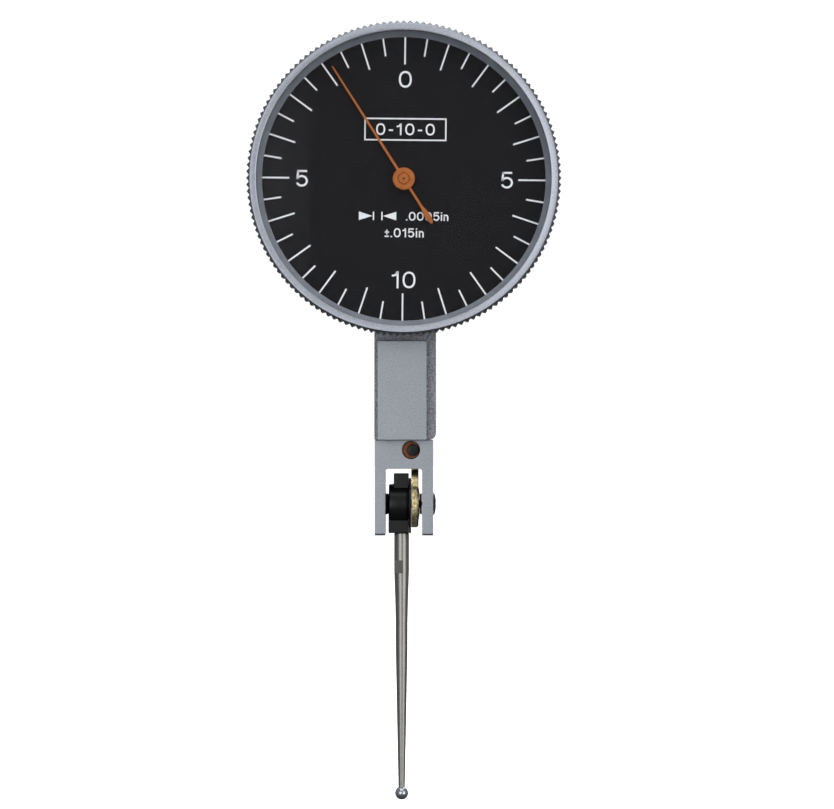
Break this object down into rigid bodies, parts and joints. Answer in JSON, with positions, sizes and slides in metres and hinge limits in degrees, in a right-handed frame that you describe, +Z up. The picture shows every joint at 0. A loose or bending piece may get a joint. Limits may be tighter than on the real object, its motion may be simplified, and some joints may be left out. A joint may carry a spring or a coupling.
{
  "type": "dial test indicator",
  "caption": "Lever-type dial test indicator: round dial with a knurled rotating bezel, a dovetailed neck, a fork and a swivelling contact lever with a ball tip.",
  "frame": {"origin": "middle of the front dovetail face on the neck, in the plane of that face", "axes": "+X to the reader's right, +Y from the reader into the tool, square to the dial, +Z up from the contact point towards the dial"},
  "size_m": [0.0388, 0.0179, 0.0971],
  "materials": {
    "satin_steel": "fine satin, brushed",
    "bezel_steel": "satin with a sharp straight knurl",
    "crystal": "clear, polished",
    "dial_black": "matt black with white printing",
    "pointer_orange": "matt orange",
    "brass": "machined",
    "bronze": "turned bronze",
    "blackened_steel": "black oxide",
    "blued_spring_steel": "blued",
    "contact_steel": "ground",
    "contact_ball": "polished",
    "pivot_steel": "ground",
    "ruby": "polished synthetic ruby"
  },
  "bodies": {
    "case": {"case_body": "satin_steel", "back_cover": "satin_steel", "cover_screw_1": "blackened_steel", "cover_screw_2": "blackened_steel", "cover_screw_3": "blackened_steel", "fork": "satin_steel", "fork_screw_left": "blackened_steel", "fork_screw_right": "blackened_steel", "pivot_screw_left": "blackened_steel", "pivot_screw_right": "blackened_steel", "thrust_washer_left": "blackened_steel", "thrust_washer_right": "blackened_steel", "eccentric_bush": "bronze", "eccentric_screw": "blackened_steel", "bezel_snap_ring": "pivot_steel", "movement_frame": "brass", "frame_screw_1": "blackened_steel", "frame_screw_2": "blackened_steel", "centre_bridge": "brass", "bridge_screw": "blackened_steel", "centre_jewel_upper": "ruby", "centre_jewel_lower": "ruby", "crown_jewel_left": "ruby", "crown_jewel_right": "ruby", "sector_jewel_left": "ruby", "sector_jewel_right": "ruby", "hairspring_stud": "brass"},
    "bezel": {"bezel_ring": "bezel_steel", "crystal": "crystal", "dial_plate": "dial_black", "dial_retaining_ring": "pivot_steel", "bezel_guide_ring": "pivot_steel"},
    "pointer_arbor": {"pointer": "pointer_orange", "centre_arbor": "pivot_steel", "hairspring_collet": "brass", "hairspring": "blued_spring_steel"},
    "crown": {"crown_wheel": "brass", "crown_arbor": "pivot_steel"},
    "sector": {"sector_lever": "brass", "sector_arbor": "pivot_steel"},
    "lever": {"contact_lever": "brass", "pivot_axle": "pivot_steel"},
    "contact": {"contact_carrier": "blackened_steel", "friction_washer": "blackened_steel", "stylus": "contact_steel", "stylus_ball": "contact_ball"}
  },
  "joints": [
    {"name": "bezel_turn", "type": "hinge", "parent": "case", "child": "bezel", "pos_m": [0, 0, 0.02625], "axis": [0, 1, 0], "continuous": true},
    {"name": "pointer_spin", "type": "hinge", "parent": "case", "child": "pointer_arbor", "pos_m": [0, 0, 0.02625], "axis": [0, 1, 0], "range_deg": [-270, 270], "stiffness_Nm_per_rad": 0.00000103, "deforming": ["hairspring"]},
    {"name": "crown_spin", "type": "hinge", "parent": "case", "child": "crown", "pos_m": [0, 0.0053, 0.02625], "axis": [1, 0, 0], "range_deg": [-45.1, 45.1]},
    {"name": "sector_pivot", "type": "hinge", "parent": "case", "child": "sector", "pos_m": [0, 0.0053, 0.00075], "axis": [1, 0, 0], "range_deg": [-1.36, 1.36]},
    {"name": "lever_pivot", "type": "hinge", "parent": "case", "child": "lever", "pos_m": [0, 0.0053, -0.01414], "axis": [1, 0, 0], "range_deg": [-0.6, 0.6]},
    {"name": "contact_swivel", "type": "hinge", "parent": "lever", "child": "contact", "pos_m": [0, 0.0053, -0.01414], "axis": [1, 0, 0], "range_deg": [-105, 105]}
  ],
  "couplings": [
    {"joint": "crown_spin", "follows": "pointer_spin", "ratio": -0.16667},
    {"joint": "sector_pivot", "follows": "pointer_spin", "ratio": 0.0050505},
    {"joint": "lever_pivot", "follows": "pointer_spin", "ratio": -0.0022154}
  ]
}
